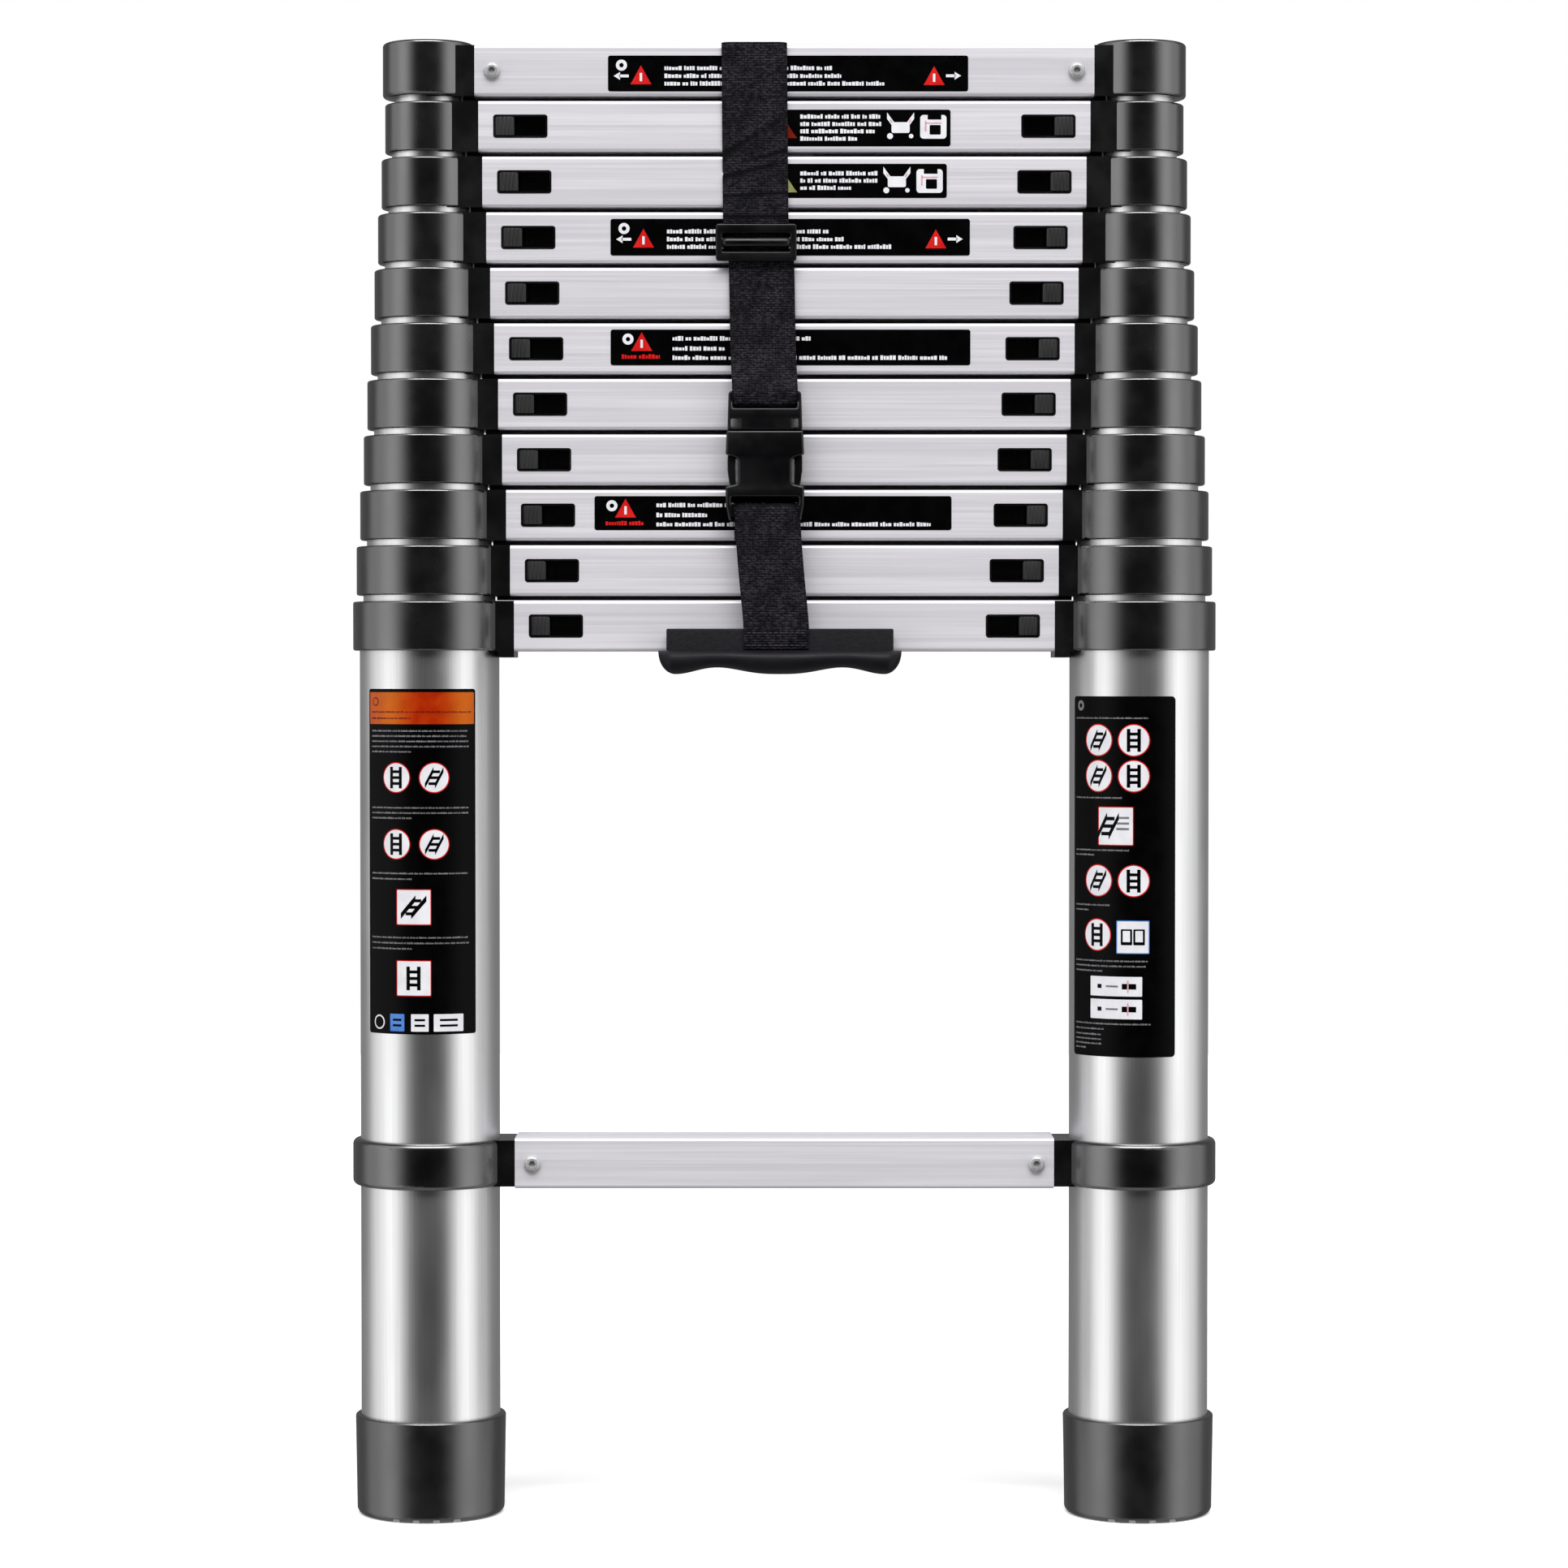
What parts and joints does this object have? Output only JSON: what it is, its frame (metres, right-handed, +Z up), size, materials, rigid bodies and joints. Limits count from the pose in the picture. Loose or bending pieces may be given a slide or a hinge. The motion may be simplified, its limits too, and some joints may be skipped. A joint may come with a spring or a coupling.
{
  "type": "telescopic extension ladder",
  "caption": "Telescopic extension ladder, stored closed: nested tubular stiles in collars, stacked rungs with thumb-button locks, a fixed low rung, feet and a buckled carry strap.",
  "frame": {"origin": "on the ground, midway between the two stiles", "axes": "+Z up along the stiles, +X to the right seen from the front, the front faces -Y"},
  "size_m": [0.4718, 0.0844, 0.8014],
  "materials": {
    "tube_aluminium": "satin drawn",
    "rung_aluminium": "satin extruded",
    "collar_plastic": "satin moulded nylon",
    "button_plastic": "moulded",
    "foot_rubber": "moulded, slightly glossy",
    "screw_steel": "zinc plated",
    "webbing": "woven",
    "handle_plastic": "soft-touch",
    "buckle_plastic": "moulded acetal"
  },
  "bodies": {
    "base": {"stile_tubes_11": "tube_aluminium", "base_collars_and_clamps": "collar_plastic", "base_rungs": "rung_aluminium", "lowest_rung_screws": "screw_steel", "stile_feet": "foot_rubber"},
    "section_10": {"stile_tubes_10": "tube_aluminium", "collars_and_bushes_10": "collar_plastic", "rung_10": "rung_aluminium"},
    "section_09": {"stile_tubes_09": "tube_aluminium", "collars_and_bushes_09": "collar_plastic", "rung_09": "rung_aluminium"},
    "section_08": {"stile_tubes_08": "tube_aluminium", "collars_and_bushes_08": "collar_plastic", "rung_08": "rung_aluminium"},
    "section_07": {"stile_tubes_07": "tube_aluminium", "collars_and_bushes_07": "collar_plastic", "rung_07": "rung_aluminium"},
    "section_06": {"stile_tubes_06": "tube_aluminium", "collars_and_bushes_06": "collar_plastic", "rung_06": "rung_aluminium"},
    "section_05": {"stile_tubes_05": "tube_aluminium", "collars_and_bushes_05": "collar_plastic", "rung_05": "rung_aluminium"},
    "section_04": {"stile_tubes_04": "tube_aluminium", "collars_and_bushes_04": "collar_plastic", "rung_04": "rung_aluminium"},
    "section_03": {"stile_tubes_03": "tube_aluminium", "collars_and_bushes_03": "collar_plastic", "rung_03": "rung_aluminium"},
    "section_02": {"stile_tubes_02": "tube_aluminium", "collars_and_bushes_02": "collar_plastic", "rung_02": "rung_aluminium"},
    "section_01": {"stile_tubes_01": "tube_aluminium", "top_caps_and_bushes": "collar_plastic", "rung_01": "rung_aluminium", "top_rung_screws": "screw_steel", "strap_webbing": "webbing", "carry_handle": "handle_plastic", "strap_buckle": "buckle_plastic"},
    "buckle_tongue": {"buckle_tongue": "buckle_plastic"},
    "lock_button_left_02": {"lock_button_left_02": "button_plastic"},
    "lock_button_left_03": {"lock_button_left_03": "button_plastic"},
    "lock_button_left_04": {"lock_button_left_04": "button_plastic"},
    "lock_button_left_05": {"lock_button_left_05": "button_plastic"},
    "lock_button_left_06": {"lock_button_left_06": "button_plastic"},
    "lock_button_left_07": {"lock_button_left_07": "button_plastic"},
    "lock_button_left_08": {"lock_button_left_08": "button_plastic"},
    "lock_button_left_09": {"lock_button_left_09": "button_plastic"},
    "lock_button_left_10": {"lock_button_left_10": "button_plastic"},
    "lock_button_left_11": {"lock_button_left_11": "button_plastic"},
    "lock_button_right_02": {"lock_button_right_02": "button_plastic"},
    "lock_button_right_03": {"lock_button_right_03": "button_plastic"},
    "lock_button_right_04": {"lock_button_right_04": "button_plastic"},
    "lock_button_right_05": {"lock_button_right_05": "button_plastic"},
    "lock_button_right_06": {"lock_button_right_06": "button_plastic"},
    "lock_button_right_07": {"lock_button_right_07": "button_plastic"},
    "lock_button_right_08": {"lock_button_right_08": "button_plastic"},
    "lock_button_right_09": {"lock_button_right_09": "button_plastic"},
    "lock_button_right_10": {"lock_button_right_10": "button_plastic"},
    "lock_button_right_11": {"lock_button_right_11": "button_plastic"}
  },
  "joints": [
    {"name": "section_10_slide", "type": "slide", "parent": "base", "child": "section_10", "axis": [0, 0, 1], "range_m": [0, 0.27]},
    {"name": "section_09_slide", "type": "slide", "parent": "section_10", "child": "section_09", "axis": [0, 0, 1], "range_m": [0, 0.27]},
    {"name": "section_08_slide", "type": "slide", "parent": "section_09", "child": "section_08", "axis": [0, 0, 1], "range_m": [0, 0.27]},
    {"name": "section_07_slide", "type": "slide", "parent": "section_08", "child": "section_07", "axis": [0, 0, 1], "range_m": [0, 0.27]},
    {"name": "section_06_slide", "type": "slide", "parent": "section_07", "child": "section_06", "axis": [0, 0, 1], "range_m": [0, 0.27]},
    {"name": "section_05_slide", "type": "slide", "parent": "section_06", "child": "section_05", "axis": [0, 0, 1], "range_m": [0, 0.27]},
    {"name": "section_04_slide", "type": "slide", "parent": "section_05", "child": "section_04", "axis": [0, 0, 1], "range_m": [0, 0.27]},
    {"name": "section_03_slide", "type": "slide", "parent": "section_04", "child": "section_03", "axis": [0, 0, 1], "range_m": [0, 0.27]},
    {"name": "section_02_slide", "type": "slide", "parent": "section_03", "child": "section_02", "axis": [0, 0, 1], "range_m": [0, 0.27]},
    {"name": "section_01_slide", "type": "slide", "parent": "section_02", "child": "section_01", "axis": [0, 0, 1], "range_m": [0, 0.27], "deforming": ["strap_webbing"]},
    {"name": "buckle_release", "type": "slide", "parent": "section_01", "child": "buckle_tongue", "axis": [0, 0, 1], "range_m": [0, 0.022]},
    {"name": "lock_button_left_02_draw", "type": "slide", "parent": "section_02", "child": "lock_button_left_02", "axis": [1, 0, 0], "range_m": [0, 0.015], "stiffness_N_per_m": 250, "springref_m": -0.006},
    {"name": "lock_button_left_03_draw", "type": "slide", "parent": "section_03", "child": "lock_button_left_03", "axis": [1, 0, 0], "range_m": [0, 0.015], "stiffness_N_per_m": 250, "springref_m": -0.006},
    {"name": "lock_button_left_04_draw", "type": "slide", "parent": "section_04", "child": "lock_button_left_04", "axis": [1, 0, 0], "range_m": [0, 0.015], "stiffness_N_per_m": 250, "springref_m": -0.006},
    {"name": "lock_button_left_05_draw", "type": "slide", "parent": "section_05", "child": "lock_button_left_05", "axis": [1, 0, 0], "range_m": [0, 0.015], "stiffness_N_per_m": 250, "springref_m": -0.006},
    {"name": "lock_button_left_06_draw", "type": "slide", "parent": "section_06", "child": "lock_button_left_06", "axis": [1, 0, 0], "range_m": [0, 0.015], "stiffness_N_per_m": 250, "springref_m": -0.006},
    {"name": "lock_button_left_07_draw", "type": "slide", "parent": "section_07", "child": "lock_button_left_07", "axis": [1, 0, 0], "range_m": [0, 0.015], "stiffness_N_per_m": 250, "springref_m": -0.006},
    {"name": "lock_button_left_08_draw", "type": "slide", "parent": "section_08", "child": "lock_button_left_08", "axis": [1, 0, 0], "range_m": [0, 0.015], "stiffness_N_per_m": 250, "springref_m": -0.006},
    {"name": "lock_button_left_09_draw", "type": "slide", "parent": "section_09", "child": "lock_button_left_09", "axis": [1, 0, 0], "range_m": [0, 0.015], "stiffness_N_per_m": 250, "springref_m": -0.006},
    {"name": "lock_button_left_10_draw", "type": "slide", "parent": "section_10", "child": "lock_button_left_10", "axis": [1, 0, 0], "range_m": [0, 0.015], "stiffness_N_per_m": 250, "springref_m": -0.006},
    {"name": "lock_button_left_11_draw", "type": "slide", "parent": "base", "child": "lock_button_left_11", "axis": [1, 0, 0], "range_m": [0, 0.015], "stiffness_N_per_m": 250, "springref_m": -0.006},
    {"name": "lock_button_right_02_draw", "type": "slide", "parent": "section_02", "child": "lock_button_right_02", "axis": [-1, 0, 0], "range_m": [0, 0.015], "stiffness_N_per_m": 250, "springref_m": -0.006},
    {"name": "lock_button_right_03_draw", "type": "slide", "parent": "section_03", "child": "lock_button_right_03", "axis": [-1, 0, 0], "range_m": [0, 0.015], "stiffness_N_per_m": 250, "springref_m": -0.006},
    {"name": "lock_button_right_04_draw", "type": "slide", "parent": "section_04", "child": "lock_button_right_04", "axis": [-1, 0, 0], "range_m": [0, 0.015], "stiffness_N_per_m": 250, "springref_m": -0.006},
    {"name": "lock_button_right_05_draw", "type": "slide", "parent": "section_05", "child": "lock_button_right_05", "axis": [-1, 0, 0], "range_m": [0, 0.015], "stiffness_N_per_m": 250, "springref_m": -0.006},
    {"name": "lock_button_right_06_draw", "type": "slide", "parent": "section_06", "child": "lock_button_right_06", "axis": [-1, 0, 0], "range_m": [0, 0.015], "stiffness_N_per_m": 250, "springref_m": -0.006},
    {"name": "lock_button_right_07_draw", "type": "slide", "parent": "section_07", "child": "lock_button_right_07", "axis": [-1, 0, 0], "range_m": [0, 0.015], "stiffness_N_per_m": 250, "springref_m": -0.006},
    {"name": "lock_button_right_08_draw", "type": "slide", "parent": "section_08", "child": "lock_button_right_08", "axis": [-1, 0, 0], "range_m": [0, 0.015], "stiffness_N_per_m": 250, "springref_m": -0.006},
    {"name": "lock_button_right_09_draw", "type": "slide", "parent": "section_09", "child": "lock_button_right_09", "axis": [-1, 0, 0], "range_m": [0, 0.015], "stiffness_N_per_m": 250, "springref_m": -0.006},
    {"name": "lock_button_right_10_draw", "type": "slide", "parent": "section_10", "child": "lock_button_right_10", "axis": [-1, 0, 0], "range_m": [0, 0.015], "stiffness_N_per_m": 250, "springref_m": -0.006},
    {"name": "lock_button_right_11_draw", "type": "slide", "parent": "base", "child": "lock_button_right_11", "axis": [-1, 0, 0], "range_m": [0, 0.015], "stiffness_N_per_m": 250, "springref_m": -0.006}
  ]
}
